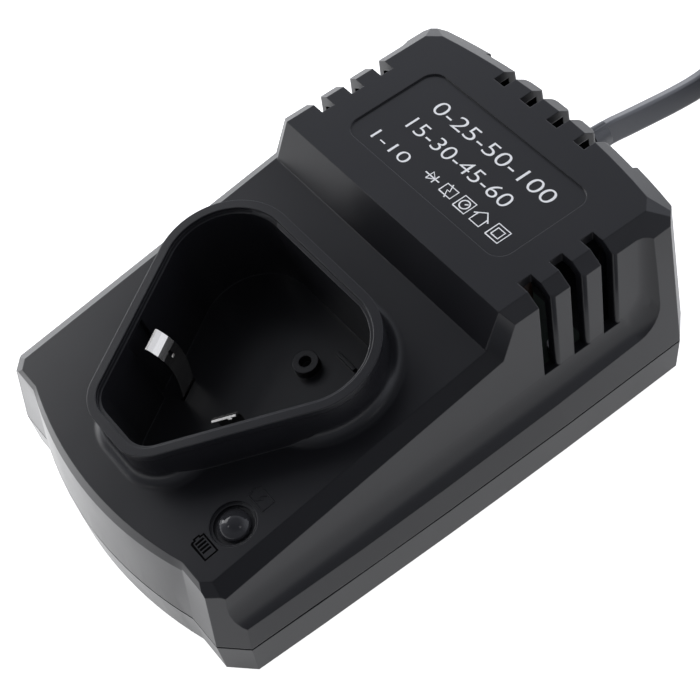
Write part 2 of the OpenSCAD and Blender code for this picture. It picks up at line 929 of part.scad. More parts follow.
// Four screws that hold the shells together
module housing_screws() {
    color("silver")
        at_screws()
            translate([0, 0, head_top_z - head_h])
                difference() {
                    union() {
                        cylinder(d = screw_head_d, h = head_h);
                        cylinder(d = screw_d, h = screw_top_z - head_top_z + head_h);
                    }
                    for (turn = [0, 90])
                        rotate([0, 0, turn])
                            translate([-driver_l / 2, -driver_w / 2, -lap])
                                cube([driver_l, driver_w, head_recess + lap]);
                }
}

// ---------- indicator ----------

module led_stem() {
    translate([0, 0, -led_stem_l])
        cylinder(d = led_stem_d, h = led_stem_l);
}

// Dome with a flange in the seat and a stem through the deck
module led_lens() {
    flange_z = -seat_steps[1][1];
    dome_z = flange_z + led_flange_t;
    dome_h = led_rise - dome_z;
    dome_r = (led_d * led_d / 4 + dome_h * dome_h) / (2 * dome_h);
    color("lightgray")
        on_led() {
            led_stem();
            translate([0, 0, flange_z])
                cylinder(d = led_d, h = led_flange_t);
            intersection() {
                translate([0, 0, led_rise - dome_r])
                    sphere(r = dome_r);
                translate([0, 0, dome_z])
                    cylinder(d = led_d, h = dome_h + lap);
            }
        }
}

module led_spacer() {
    color("white")
        translate([led_x, -led_y, board_top])
            difference() {
                cylinder(d = spacer_d, h = spacer_top - board_top);
                translate([0, 0, -lap])
                    cylinder(d = spacer_hole_d, h = far);
            }
}

module led_leads() {
    color("silver")
        difference() {
            for (side = [-1, 1])
                translate([led_x - led_pin / 2, -led_y + side * led_pitch / 2 - led_pin / 2, board_top])
                    cube([led_pin, led_pin, spacer_top - board_top + led_stem_l]);
            on_led()
                translate([0, 0, -led_stem_l])
                    cylinder(d = 3 * led_stem_d, h = far);
        }
}

// ---------- contacts ----------

// Side view of a strip: [gap to the wall, height] along its face, made strip_t thick
module strip_outline(points) {
    polygon(concat(
        [for (p = points) [-p[0], p[1]]],
        [for (i = [len(points) - 1:-1:0]) [strip_t - points[i][0], points[i][1]]]
    ));
}

module strip(points) {
    on_wall()
        rotate([90, 0, 0])
            translate([0, 0, -strip_w / 2])
                linear_extrude(strip_w)
                    strip_outline(points);
}

// Springy part of the right-hand contact: bowed away from the wall, with a slit below its tip
module leaf() {
    color("silver")
        difference() {
            strip(concat([[contact_gap, strip_root - socket_deep]], leaf_bends));
            on_wall()
                translate([-far, -tip_slot[0] / 2, tip_slot_h - tip_slot[1] / 2])
                    cube([far, tip_slot[0], tip_slot[1]]);
        }
}

// Its fixed foot, through the socket floor down to the board
module tail() {
    color("silver")
        difference() {
            strip([[contact_gap, -3 * socket_deep], [contact_gap, -socket_deep]]);
            translate([-far / 2, -far / 2, board_top - far])
                cube(far);
        }
}

module contact_right_leaf() {
    leaf();
}

module contact_left_leaf() {
    mirror([1, 0, 0])
        leaf();
}

module contact_right_tail() {
    tail();
}

module contact_left_tail() {
    mirror([1, 0, 0])
        tail();
}

// ---------- circuit ----------

module on_board(at) {
    translate([at[0], at[1], board_top])
        children();
}

// Box standing on the board
module board_box(size) {
    translate([-size[0] / 2, -size[1] / 2, 0])
        cube(size);
}

module circuit_board() {
    color("darkgreen")
        difference() {
            translate([-board_w / 2, board_y, board_z])
                cube([board_w, board_l, board_t]);
            at_standoffs()
                translate([0, 0, board_z - lap])
                    cylinder(d = board_screw_d + bore_clear, h = board_t + 2 * lap);
        }
}

module board_screws() {
    color("silver")
        at_standoffs() {
            translate([0, 0, board_top])
                cylinder(d = board_head_d, h = board_head_h);
            translate([0, 0, board_top - board_screw_l])
                cylinder(d = board_screw_d, h = board_screw_l);
        }
}

module transformer_core() {
    color("dimgray")
        on_board(core_at)
            difference() {
                board_box(core_size);
                for (side = [-1, 1])
                    translate([side * (core_leg + core_window[0]) / 2, 0, window_z])
                        translate([-core_window[0] / 2, -core_size[1], 0])
                            cube([core_window[0], 2 * core_size[1], core_window[1]]);
            }
}

// Sleeve round the middle leg between two flanges
module transformer_bobbin() {
    tall = core_window[1] - 2 * bobbin_clear;
    wide = core_leg + 2 * core_window[0] - 2 * bobbin_clear;
    long = core_size[1] + 2 * bobbin_reach;
    color("black")
        on_board(core_at)
            translate([0, 0, window_z + bobbin_clear])
                difference() {
                    union() {
                        board_box([core_leg + 2 * bobbin_skin, core_size[1] + 2 * bobbin_skin, tall]);
                        board_box([wide, long, bobbin_wall]);
                        translate([0, 0, tall - bobbin_wall])
                            board_box([wide, long, bobbin_wall]);
                    }
                    translate([0, 0, -lap])
                        board_box([core_leg + 2 * bobbin_clear, core_size[1] + 2 * bobbin_clear,
                            tall + 2 * lap]);
                }
}

module transformer_winding() {
    low = window_z + bobbin_clear + bobbin_wall;
    tall = core_window[1] - 2 * bobbin_clear - 2 * bobbin_wall;
    inner = [core_leg + 2 * bobbin_skin, core_size[1] + 2 * bobbin_skin];
    color("goldenrod")
        on_board(core_at)
            translate([0, 0, low])
                difference() {
                    union() {
                        board_box([inner[0] + 2 * winding_reach, inner[1], tall]);
                        board_box([inner[0], inner[1] + 2 * winding_reach, tall]);
                        for (x = [-inner[0] / 2, inner[0] / 2])
                            for (y = [-inner[1] / 2, inner[1] / 2])
                                translate([x, y, 0])
                                    cylinder(r = winding_reach, h = tall);
                    }
                    translate([0, 0, -lap])
                        board_box([inner[0], inner[1], tall + 2 * lap]);
                }
}

// Standing round can with a rim
module can(size) {
    cylinder(d = size[0] - cap_rim, h = size[1]);
    translate([0, 0, cap_rim])
        cylinder(d = size[0], h = size[1] - 3 * cap_rim);
}

module input_capacitor() {
    color("midnightblue")
        on_board(input_cap_at)
            can(input_cap);
}

module output_capacitors() {
    color("midnightblue")
        for (at = output_cap_at)
            on_board(at)
                can(output_cap);
}

module film_capacitor() {
    color("khaki")
        on_board(film_cap_at)
            board_box(film_cap);
}

module ceramic_capacitor() {
    color("peru")
        on_board(disc_cap_at) {
            translate([-disc_cap[1] / 2, 0, disc_lift + disc_cap[0] / 2])
                rotate([0, 90, 0])
                    cylinder(d = disc_cap[0], h = disc_cap[1]);
            for (side = [-1, 1])
                translate([0, side * chip_pitch, 0])
                    cylinder(d = lead_d, h = disc_lift + disc_cap[0] / 2);
        }
}

module fuse() {
    color("saddlebrown")
        on_board(fuse_at)
            can(fuse_size);
}

// Wound ring lying on the board
module noise_choke() {
    band = (choke_size[0] - choke_bore) / 2;
    soft = choke_size[1] / 4;
    color("sienna")
        on_board(choke_at)
            rotate_extrude()
                translate([choke_bore / 2, 0]) {
                    translate([soft, 0])
                        square([band - 2 * soft, choke_size[1]]);
                    translate([0, soft])
                        square([band, choke_size[1] - 2 * soft]);
                    for (x = [soft, band - soft])
                        for (y = [soft, choke_size[1] - soft])
                            translate([x, y])
                                circle(r = soft);
                }
}

// Round part lying along X with two bent leads
module axial(size) {
    reach = size[1] / 2 + lead_reach;
    z = size[0] / 2 + lead_lift;
    translate([-size[1] / 2, 0, z])
        rotate([0, 90, 0])
            cylinder(d = size[0], h = size[1]);
    translate([-reach, 0, z])
        rotate([0, 90, 0])
            cylinder(d = lead_d, h = 2 * reach);
    for (side = [-1, 1])
        translate([side * reach, 0, 0]) {
            cylinder(d = lead_d, h = z);
            translate([0, 0, z])
                sphere(d = lead_d);
        }
}

module bridge_diodes() {
    color("black")
        for (i = [0:3])
            on_board(diode_at + [0, i * diode_pitch])
                axial(diode_size);
}

module resistors() {
    color("tan")
        for (i = [0:resistor_count - 1])
            on_board(resistor_at + [0, (i - (resistor_count - 1) / 2) * resistor_pitch])
                axial(resistor_size);
}

module output_rectifier() {
    color("black")
        on_board(rectifier_at)
            axial(rectifier_size);
}

module heatsink() {
    color("silver")
        on_board(heatsink_at)
            board_box(heatsink_size);
}

// Power transistor standing flat against the heatsink
module switching_transistor() {
    color("black")
        on_board(heatsink_at - [(heatsink_size[0] + transistor_size[0]) / 2, 0])
            board_box(transistor_size);
}

// Flat chip on two rows of legs
module dip(size, legs) {
    translate([0, 0, chip_lift])
        board_box(size);
    for (i = [0:legs - 1])
        for (side = [-1, 1])
            translate([(i - (legs - 1) / 2) * chip_pitch, side * size[1] / 2, 0])
                board_box(chip_leg);
}

module control_chip() {
    color("black")
        on_board(chip_at)
            dip(chip_size, 4);
}

module optocoupler() {
    color("ivory")
        on_board(opto_at)
            dip(opto_size, 2);
}

// Two inner leads from the cord to the board
module mains_wires() {
    color("brown")
        for (side = [-1, 1])
            translate([side * wire_gap, 0, 0])
                tube(wire_points, wire_d, wire_d, wire_sides);
}

// ---------- cord and plug ----------

module strain_relief() {
    color("black")
        translate([-cord_x, 0, split_z])
            rotate([-90, 0, 0])
                difference() {
                    union() {
                        translate([0, 0, relief_in_y])
                            cylinder(d = relief_flange_d, h = relief_flange_t);
                        translate([0, 0, relief_in_y])
                            cylinder(d = relief_neck_d - 2 * fit_clear, h = relief_out_y - relief_in_y);
                        translate([0, 0, relief_out_y])
                            cylinder(d1 = relief_root_d, d2 = relief_tip_d, h = relief_end_y - relief_out_y);
                    }
                    for (i = [1:relief_grooves])
                        translate([0, 0, relief_out_y + i * groove_pitch])
                            difference() {
                                cylinder(d = relief_flange_d, h = groove_w);
                                translate([0, 0, -lap])
                                    cylinder(d = relief_tip_d - groove_deep, h = groove_w + 2 * lap);
                            }
                }
}

// Tube of oval section, w wide and t thick, through a list of points
module tube(points, w, t, sides) {
    last = len(points) - 1;
    function heading(i) = let (d = points[min(i + 1, last)] - points[max(i - 1, 0)]) d / norm(d);
    function across(i) = let (d = heading(i)) [d[1], -d[0], 0] / norm([d[1], -d[0], 0]);
    rings = [for (i = [0:last]) for (k = [0:sides - 1])
        let (a = k * 360 / sides)
            points[i] + across(i) * cos(a) * w / 2 + cross(across(i), heading(i)) * sin(a) * t / 2];
    skin = [for (i = [0:last - 1]) for (k = [0:sides - 1])
        let (n = (k + 1) % sides)
            [i * sides + k, i * sides + n, (i + 1) * sides + n, (i + 1) * sides + k]];
    polyhedron(rings, concat(
        [[for (k = [sides - 1:-1:0]) k]],
        skin,
        [[for (k = [0:sides - 1]) last * sides + k]]
    ));
}

module mains_cord() {
    color("black") {
        tube(cord_out, cord_w, cord_t, cord_sides);
        tube(cord_in, cord_w, cord_t, cord_sides);
    }
}

// Spare cord, wound up and tied
module cord_coil() {
    color("black")
        translate([coil_at[0], coil_at[1], tie_t])
            rotate_extrude()
                translate([(coil_d - coil_w) / 2, 0]) {
                    translate([coil_r, 0])
                        square([coil_w - 2 * coil_r, coil_h]);
                    translate([0, coil_r])
                        square([coil_w, coil_h - 2 * coil_r]);
                    for (x = [coil_r, coil_w - coil_r])
                        for (y = [coil_r, coil_h - coil_r])
                            translate([x, y])
                                circle(r = coil_r);
                }
}

module cord_tie() {
    color("dimgray")
        difference() {
            translate([coil_at[0] + (coil_d - coil_w) / 2 - tie_t, coil_at[1] - tie_w / 2, 0])
                cube([coil_w + 2 * tie_t, tie_w, coil_h + 2 * tie_t]);
            cord_coil();
        }
}

module plug_body() {
    color("black")
        translate([plug_x, plug_y, 0])
            linear_extrude(plug_t)
                polygon([
                    [-plug_w / 2, 0],
                    [plug_w / 2, 0],
                    [plug_w / 2, plug_shoulder[0]],
                    [plug_neck_w[0] / 2, plug_shoulder[1]],
                    [plug_neck_w[1] / 2, plug_l],
                    [-plug_neck_w[1] / 2, plug_l],
                    [-plug_neck_w[0] / 2, plug_shoulder[1]],
                    [-plug_w / 2, plug_shoulder[0]]
                ]);
}

module plug_pins() {
    color("silver")
        for (side = [-1, 1])
            translate([plug_x + side * pin_gap / 2, plug_y, plug_z])
                rotate([90, 0, 0]) {
                    cylinder(d = pin_d, h = pin_l - pin_d / 2);
                    translate([0, 0, pin_l - pin_d / 2])
                        sphere(d = pin_d);
                }
}

upper_shell();
lower_shell();
housing_screws();
led_lens();
led_spacer();
led_leads();
contact_left_leaf();
contact_right_leaf();
contact_left_tail();
contact_right_tail();
circuit_board();
board_screws();
transformer_core();
transformer_bobbin();
transformer_winding();
input_capacitor();
output_capacitors();
film_capacitor();
ceramic_capacitor();
fuse();
noise_choke();
bridge_diodes();
resistors();
switching_transistor();
output_rectifier();
heatsink();
control_chip();
optocoupler();
mains_wires();
strain_relief();
mains_cord();
cord_coil();
cord_tie();
plug_body();
plug_pins();
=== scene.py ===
# %% [markdown]
# # A desk charger for a power tool battery
# The solid parts come from a measured CAD model that is already packed. This lesson dresses them: it
# smooths the mouldings, winds the mains lead, prints the label and mixes every finish. Blender works in
# metres, so a size in millimetres is multiplied by mm. X points right, Y to the rear and Z up, and the
# table is at Z = 0. The imported materials get other names, which leaves the plain names to the finishes.

# %% Load the measured frame
from math import cos, pi, radians, sin

import bmesh
import bpy
from mathutils import Matrix, Vector


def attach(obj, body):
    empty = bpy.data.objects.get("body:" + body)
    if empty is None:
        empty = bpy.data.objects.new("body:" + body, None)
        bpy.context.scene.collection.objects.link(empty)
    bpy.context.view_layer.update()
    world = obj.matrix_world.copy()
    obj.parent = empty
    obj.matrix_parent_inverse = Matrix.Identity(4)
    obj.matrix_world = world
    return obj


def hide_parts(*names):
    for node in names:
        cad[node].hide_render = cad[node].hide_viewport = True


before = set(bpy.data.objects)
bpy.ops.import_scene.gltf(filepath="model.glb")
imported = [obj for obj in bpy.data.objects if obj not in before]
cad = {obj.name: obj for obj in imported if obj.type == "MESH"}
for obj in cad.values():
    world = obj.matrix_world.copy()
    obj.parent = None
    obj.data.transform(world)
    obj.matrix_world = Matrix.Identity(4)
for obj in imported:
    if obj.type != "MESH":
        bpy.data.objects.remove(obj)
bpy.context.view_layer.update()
scene = bpy.context.scene
mm = 0.001
for plain in bpy.data.materials:
    plain.name = "plain_" + plain.name

# %% [markdown]
# ## The camera
# A camera can be placed by its distance and three angles round a target, which keeps its aim exact. It
# looks down on the front right corner, and it is rolled a little, as a hand-held camera is.

# %% Aim the camera
swing = radians(61.79)
height_angle = radians(51.93)
roll = radians(-11.15)
distance = 359.42 * mm
target = Vector((1.7, -0.53, 17.1)) * mm

backward = Vector((sin(swing) * cos(height_angle), -cos(swing) * cos(height_angle), sin(height_angle)))
level = Vector((cos(swing), sin(swing), 0))
upward = backward.cross(level)
across = cos(roll) * level + sin(roll) * upward
rising = -sin(roll) * level + cos(roll) * upward
lens = bpy.data.cameras.new("studio_camera")
lens.lens = 89.86
lens.sensor_width = 36
lens.clip_start = 0.01
camera = bpy.data.objects.new("studio_camera", lens)
camera.matrix_world = Matrix.Translation(target + backward * distance) @ Matrix(
    (across, rising, backward)).transposed().to_4x4()
scene.collection.objects.link(camera)
scene.camera = camera
print("camera", round(distance, 3), "m from its target")

# %% [markdown]
# ## A kit of finishes
# A finish is a Principled shader fed by noise, so each one needs only a few numbers: its colour, how rough
# it is, and how fine and deep its grain is. Noise in object coordinates stays put on the piece. Stretching
# the noise one way brushes a metal, and a Bevel node catches the light along the edges of a moulding.

# %% Write the recipe for a finish
patch_size = 14 * mm
coat_rough = 0.3


def finish(name, colour, rough, metal=0.0, grain=0.3, depth=0.004, mottle=0.06, swing=0.05, edge=0.0,
           shine=0.5, coat=0.0, stretch=(1, 1, 1)):
    """A node material. grain, depth and edge are in millimetres; stretch draws the grain out."""
    material = bpy.data.materials.new(name)
    material.use_nodes = True
    material.diffuse_color = (*colour, 1)
    tree = material.node_tree
    shader = tree.nodes["Principled BSDF"]
    shader.inputs["Metallic"].default_value = metal
    shader.inputs["Specular IOR Level"].default_value = shine
    shader.inputs["Coat Weight"].default_value = coat
    shader.inputs["Coat Roughness"].default_value = coat_rough
    place = tree.nodes.new("ShaderNodeTexCoord")
    drawn = tree.nodes.new("ShaderNodeVectorMath")
    drawn.operation = "MULTIPLY"
    drawn.inputs[1].default_value = stretch
    tree.links.new(place.outputs["Object"], drawn.inputs[0])
    fine = tree.nodes.new("ShaderNodeTexNoise")
    fine.inputs["Scale"].default_value = 1 / (grain * mm)
    fine.inputs["Detail"].default_value = 2
    broad = tree.nodes.new("ShaderNodeTexNoise")
    broad.inputs["Scale"].default_value = 1 / patch_size
    broad.inputs["Detail"].default_value = 3
    for texture in (fine, broad):
        tree.links.new(drawn.outputs["Vector"], texture.inputs["Vector"])
    shade = tree.nodes.new("ShaderNodeMapRange")
    shade.inputs["To Min"].default_value = 1 - mottle
    shade.inputs["To Max"].default_value = 1 + mottle
    tree.links.new(broad.outputs["Fac"], shade.inputs["Value"])
    tint = tree.nodes.new("ShaderNodeVectorMath")
    tint.operation = "SCALE"
    tint.inputs[0].default_value = colour
    tree.links.new(shade.outputs["Result"], tint.inputs["Scale"])
    tree.links.new(tint.outputs["Vector"], shader.inputs["Base Color"])
    gloss = tree.nodes.new("ShaderNodeMapRange")
    gloss.inputs["To Min"].default_value = max(0.02, rough - swing)
    gloss.inputs["To Max"].default_value = min(1, rough + swing)
    tree.links.new(broad.outputs["Fac"], gloss.inputs["Value"])
    tree.links.new(gloss.outputs["Result"], shader.inputs["Roughness"])
    bump = tree.nodes.new("ShaderNodeBump")
    bump.inputs["Strength"].default_value = 1
    bump.inputs["Distance"].default_value = depth * mm
    tree.links.new(fine.outputs["Fac"], bump.inputs["Height"])
    tree.links.new(bump.outputs["Normal"], shader.inputs["Normal"])
    if edge:
        soft = tree.nodes.new("ShaderNodeBevel")
        soft.samples = 6
        soft.inputs["Radius"].default_value = edge * mm
        tree.links.new(soft.outputs["Normal"], bump.inputs["Normal"])
    return material


# %% [markdown]
# ## Plastics and rubbers
# The housing is moulded in black plastic with a fine satin texture. A black that is too light looks dusty,
# so its colour is close to nothing, and what the eye reads is its sheen. The lamp's lens is smoked and
# polished, and the mains lead has a soft skin. The rest are the usual colours of the parts on a board.

# %% Mix the plastics and rubbers
housing_plastic = finish("housing_plastic", (0.0105, 0.0105, 0.0125), 0.31, depth=0.006, edge=0.3, shine=0.33)
black_plastic = finish("black_plastic", (0.03, 0.03, 0.03), 0.45, depth=0.003)
white_plastic = finish("white_plastic", (0.8, 0.8, 0.78), 0.4, mottle=0.03)
cord_rubber = finish("cord_rubber", (0.075, 0.078, 0.087), 0.38, grain=0.5, depth=0.004, coat=0.5)
lens_plastic = finish("lens", (0.03, 0.03, 0.033), 0.07, depth=0.0005, swing=0.02, shine=0.3)
can_sleeve = finish("can_sleeve", (0.04, 0.06, 0.2), 0.22, depth=0.002)
film_yellow = finish("film_yellow", (0.75, 0.62, 0.15), 0.35)
ceramic_blue = finish("ceramic_blue", (0.08, 0.2, 0.45), 0.25, depth=0.02)
fuse_brown = finish("fuse_brown", (0.18, 0.09, 0.05), 0.4)
resistor_tan = finish("resistor_tan", (0.62, 0.5, 0.34), 0.35)
wire_brown = finish("wire_brown", (0.25, 0.12, 0.06), 0.3)
print(len(bpy.data.materials), "materials so far")

# %% [markdown]
# ## Metals and the board
# A metal is a Principled shader with Metallic at 1, whose colour is the colour of its shine. Rolled strip and
# sheet have fine lines along the way they were rolled, so their noise is stretched that way. Enamelled wire
# isn't a bare metal. Its dark brown enamel is darkened further, as painted shade for the inside of the
# housing, and its noise is drawn out level, as the wire lies, which hints at single turns.

# %% Mix the metals and the board
nickel = finish("nickel", (0.72, 0.7, 0.66), 0.24, metal=1, grain=0.12, depth=0.002, stretch=(1, 1, 0.06))
steel = finish("steel", (0.55, 0.55, 0.56), 0.32, metal=1, grain=0.2)
aluminium = finish("aluminium", (0.75, 0.76, 0.77), 0.38, metal=1, grain=0.15, stretch=(1, 0.08, 1))
ferrite = finish("ferrite", (0.1, 0.1, 0.11), 0.7, depth=0.02)
# Painted shade: the dark brown enamel is darkened further to stand for the shade inside the housing.
copper_wire = finish("copper_wire", (0.07, 0.03, 0.014), 0.5, grain=0.35, depth=0.05,
                     stretch=(0.1, 0.1, 1))
board_resin = finish("board", (0.012, 0.05, 0.024), 0.3, grain=0.8, depth=0.01)
print(len(bpy.data.materials), "materials in all")

# %% [markdown]
# ## Dressing the measured parts
# Most measured parts are right as they are and only take a finish. A short list says which part is made of
# what. It follows the way such a charger is built: spring strip for the contacts, sleeves on the big
# capacitors, sintered ferrite for the transformer's core.

# %% Dress each measured part
made_of = {
    lens_plastic: ["led_lens"],
    nickel: ["contact_left_leaf", "contact_right_leaf", "contact_left_tail", "contact_right_tail",
             "plug_pins"],
    steel: ["housing_screws", "board_screws", "led_leads"],
    aluminium: ["heatsink"],
    board_resin: ["circuit_board"],
    ferrite: ["transformer_core"],
    copper_wire: ["transformer_winding", "noise_choke"],
    can_sleeve: ["input_capacitor", "output_capacitors"],
    film_yellow: ["film_capacitor"],
    ceramic_blue: ["ceramic_capacitor"],
    fuse_brown: ["fuse"],
    resistor_tan: ["resistors"],
    wire_brown: ["mains_wires"],
    black_plastic: ["transformer_bobbin", "bridge_diodes", "switching_transistor", "output_rectifier",
                    "control_chip"],
    white_plastic: ["led_spacer", "optocoupler"],
}
for material, nodes in made_of.items():
    for node in nodes:
        cad[node].data.materials.clear()
        cad[node].data.materials.append(material)
print(sum(len(nodes) for nodes in made_of.values()), "parts dressed")

# %% [markdown]
# ## The mains lead
# The lead is a flat cord with two cores side by side, 5.6 mm wide and 3 mm thick. Its spare length is put
# away as a ring behind the housing. Three turns stand on edge, one inside the other, and two more lie flat on
# top of them. The places on the way to the ring and from it to the plug are listed one by one; a loop works
# out the turns between, because each turn only steps inwards or upwards a little at a time.

# %% Lay the route of the lead
lead_width = 5.6
lead_thick = 3.0
lead_lean = 0.75
ring_middle = (14, 150)
ring_radius = 31
lane_pitch = lead_thick + 0.5
low_height = 3.4
top_rise = 4.5
crossing = 0.06
first_turn = -28 / 360
last_turn = 5.25 - crossing
steps_per_turn = 24

to_ring = [(-13.5, 63.4, 9.6), (-13.5, 74, 9.6), (-13.5, 83.6, 9.6), (-13.6, 90, 8.3), (-13.8, 98, 6.6),
           (-14.2, 106, 4.8), (-14.8, 114, 3.4), (-15.6, 122, 3.2)]
to_plug = [(32, 181.4, 7.4), (40, 181, 5.4), (48, 180.3, 3.6), (58, 177.2, 2.3), (65, 171.6, 1.9),
           (69.6, 163.6, 2.2), (71, 154, 3.6), (71, 146, 5.4), (71, 134, 6.8), (71, 122, 6.8)]


def eased(value, start, end):
    """0 before start, 1 after end and a smooth step between them."""
    share = min(1, max(0, (value - start) / (end - start)))
    return share * share * (3 - 2 * share)


def lane(turn):
    """Offset from the ring's middle radius, height and tilt of the lead after so many turns."""
    inward = sum(eased(turn, at - crossing, at + crossing) for at in (0.25, 1, 1.25, 2, 2.25, 3))
    offset = 1.5 * lane_pitch - lane_pitch / 2 * inward
    on_top = eased(turn, 3.2, 3.36)
    offset += (1.5 * lane_pitch - lead_width / 2) * on_top + lead_width * eased(turn, 4.2, 4.34)
    return offset, low_height + top_rise * on_top, (1 - on_top) * pi / 2


points = list(to_ring)
tilts = [pi / 2 * lead_lean] * len(to_ring)
wound = int((last_turn - first_turn) * steps_per_turn)
for step in range(wound + 1):
    turn = first_turn + (last_turn - first_turn) * step / wound
    offset, height, tilt = lane(turn)
    angle = pi - 2 * pi * turn
    points.append((ring_middle[0] + (ring_radius + offset) * cos(angle),
                   ring_middle[1] + (ring_radius + offset) * sin(angle), height))
    tilts.append(tilt * (lead_lean + (1 - lead_lean) * eased(turn, first_turn, 0)))
points += to_plug
tilts += [0] * len(to_plug)
print(len(points), "points on the lead's route")

# %% [markdown]
# ## Curves into pieces
# A curve is the natural tool for a cord: a small closed curve gives the section, a long one gives the
# route, and the tilt of its points turns the cord on edge. Three helpers do this here and again for the
# label: one draws a curve, one takes its finished mesh, and one makes a mesh a piece of the charger.

# %% Write the helpers for curves and pieces
def curve_of(name, places, closed=False):
    """A smooth curve through places, in millimetres."""
    line = bpy.data.curves.new(name, "CURVE")
    line.dimensions = "3D"
    spline = line.splines.new("BEZIER")
    spline.bezier_points.add(len(places) - 1)
    spline.use_cyclic_u = closed
    for knot, place in zip(spline.bezier_points, places):
        knot.co = Vector(place) * mm
        knot.handle_left_type = knot.handle_right_type = "AUTO"
    holder = bpy.data.objects.new(name, line)
    scene.collection.objects.link(holder)
    return holder


def mesh_of(holder, name):
    """The finished mesh of a curve or text."""
    bpy.context.view_layer.update()
    seen = holder.evaluated_get(bpy.context.evaluated_depsgraph_get())
    mesh = bpy.data.meshes.new_from_object(seen)
    mesh.name = name
    return mesh


def add_piece(name, mesh, material, body="housing", smooth=30):
    """Puts a finished mesh in the scene as a piece of its own."""
    piece = bpy.data.objects.new(name, mesh)
    scene.collection.objects.link(piece)
    mesh.materials.clear()
    mesh.materials.append(material)
    mesh.polygons.foreach_set("use_smooth", [True] * len(mesh.polygons))
    mesh.set_sharp_from_angle(angle=radians(smooth))
    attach(piece, body)
    return piece


# %% Draw the flat section
corner = 0.7
flat_start = 0.12
flat_wide = lead_width / 2 - corner
flat_thick = lead_thick / 2 - corner
quarter = [(flat_wide + corner, flat_thick - flat_start)]
for degrees in range(0, 91, 15):
    angle = radians(degrees)
    quarter.append((flat_wide + corner * cos(angle), flat_thick + corner * sin(angle)))
quarter.append((flat_wide - flat_start, flat_thick + corner))
upper = quarter + [(-x, y) for x, y in reversed(quarter)]
outline = upper + [(-x, -y) for x, y in upper]
section = curve_of("lead_section", [(x, y, 0) for x, y in outline], closed=True)
for knot in section.data.splines[0].bezier_points:
    knot.handle_left_type = knot.handle_right_type = "VECTOR"
section.data.resolution_u = 1
print("section of", len(outline), "points")

# %% Sweep it along the route
route = curve_of("lead_route", points)
route.data.twist_mode = "Z_UP"
route.data.resolution_u = 3
for knot, tilt in zip(route.data.splines[0].bezier_points, tilts):
    knot.tilt = tilt
centre_line = [tuple(v.co) for v in mesh_of(route, "lead_centre").vertices]
route.data.bevel_mode = "OBJECT"
route.data.bevel_object = section
route.data.use_fill_caps = True
lead_mesh = mesh_of(route, "mains_lead")
bpy.data.objects.remove(route)
bpy.data.objects.remove(section)
form = bmesh.new()
form.from_mesh(lead_mesh)
bmesh.ops.remove_doubles(form, verts=form.verts, dist=1e-6)
bmesh.ops.recalc_face_normals(form, faces=form.faces)
form.to_mesh(lead_mesh)
form.free()
mains_lead = add_piece("mains_lead", lead_mesh, cord_rubber, smooth=50)
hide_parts("mains_cord", "cord_coil")
lead_length = sum((Vector(b) - Vector(a)).length for a, b in zip(centre_line, centre_line[1:]))
print("lead", round(lead_length, 3), "m,", len(lead_mesh.polygons), "faces")

# %% [markdown]
# ## The mouldings
# A measured part comes as triangles, so its coves and scoops look faceted. A copy is merged into whole
# faces again, which lets the light run smoothly round a cove while the flat faces stay flat. Plug, relief
# and tie also get truly rounded edges; on the two shells the finish rounds the edges.

# %% Smooth the mouldings
merge_within = 3e-6
flat_within = radians(0.6)
shell_sharp = 14


def moulded(name, node, material, radius=0, sharp=26):
    """A smooth copy of a measured part, which stands for it. radius rounds its edges."""
    mesh = cad[node].data.copy()
    form = bmesh.new()
    form.from_mesh(mesh)
    bmesh.ops.remove_doubles(form, verts=form.verts, dist=merge_within)
    bmesh.ops.dissolve_limit(form, angle_limit=flat_within, verts=form.verts, edges=form.edges,
                             use_dissolve_boundaries=False, delimit={"NORMAL"})
    form.to_mesh(mesh)
    form.free()
    piece = add_piece(name, mesh, material, smooth=sharp)
    if radius:
        rounding = piece.modifiers.new("rounding", "BEVEL")
        rounding.width = radius * mm
        rounding.segments = 3
        rounding.limit_method = "ANGLE"
        rounding.angle_limit = radians(sharp)
    even = piece.modifiers.new("even_normals", "WEIGHTED_NORMAL")
    even.keep_sharp = True
    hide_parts(node)
    return piece


cover = moulded("cover", "upper_shell", housing_plastic, sharp=shell_sharp)
tray = moulded("tray", "lower_shell", housing_plastic, sharp=shell_sharp)
plug = moulded("plug", "plug_body", cord_rubber, radius=1.2)
relief = moulded("relief", "strain_relief", cord_rubber, radius=0.2)
tie = moulded("tie", "cord_tie", black_plastic, radius=0.15)
for piece in (cover, tray, plug, relief, tie):
    print(piece.name, len(piece.data.polygons), "faces")

# %% [markdown]
# ## The strain relief
# The relief is the ribbed bush that keeps the lead from kinking where it leaves the housing. The measured
# one is round, and the real cord is flat. Its part outside the housing is squeezed to the cord's section
# by moving the vertices along the cord's own two directions, so that it leans as the cord does.

# %% Flatten the strain relief to the cord
cord_axis = Vector((-13.5, 0, 9.6)) * mm
outside = 64 * mm
wide_share = 0.95
thin_share = 0.55
lean = pi / 2 * lead_lean
wide_way = Vector((-cos(lean), 0, sin(lean)))
thin_way = Vector((sin(lean), 0, cos(lean)))
for v in relief.data.vertices:
    if v.co.y > outside:
        off = v.co - cord_axis
        middle = Vector((cord_axis.x, v.co.y, cord_axis.z))
        v.co = middle + wide_way * off.dot(wide_way) * wide_share + thin_way * off.dot(thin_way) * thin_share
print("relief box", [round(d / mm, 1) for d in relief.dimensions])

# %% [markdown]
# ## The lead's centre line
# Whoever uses the charger may want its lead laid out another way. The lead's centre line and its real length
# along it come from the sweep above.

print("cord declared with", len(centre_line), "points")

# %% [markdown]
# ## Print and marks
# The label carries plain scales and small signs, printed in white ink. Lines are swept as thin round
# strokes and pressed flat; figures come from a text curve. Each is made a mesh, then it is laid on the
# surface that a ray finds below it, so print and plastic always meet.


